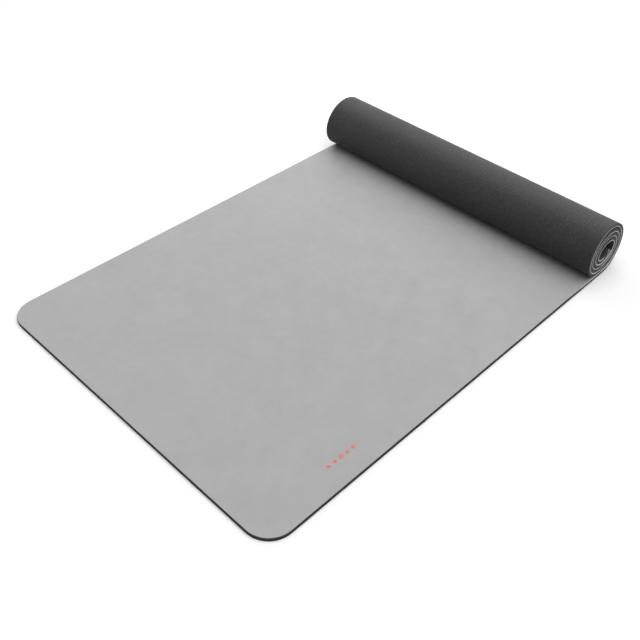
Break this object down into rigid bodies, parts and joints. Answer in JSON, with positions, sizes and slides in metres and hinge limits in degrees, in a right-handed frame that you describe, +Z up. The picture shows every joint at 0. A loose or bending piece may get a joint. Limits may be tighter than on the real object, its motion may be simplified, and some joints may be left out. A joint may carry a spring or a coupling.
{
  "type": "yoga mat",
  "caption": "Laminated exercise mat with rounded corners, laid flat at one end and loosely rolled up, soft side in, at the other.",
  "frame": {"origin": "middle of the footprint's bounding box, on the floor", "axes": "+X along the mat's length, from its free end towards the roll; +Y across its width; +Z up"},
  "size_m": [0.8362, 0.61, 0.1023],
  "materials": {
    "base_rubber": "matte charcoal rubber with a fine embossed grain",
    "bond": "hot-melt bonding film",
    "top_sheet": "soft matte light grey"
  },
  "bodies": {
    "root": {"base_layer": "base_rubber", "bond_film": "bond", "top_layer": "top_sheet"}
  },
  "joints": []
}
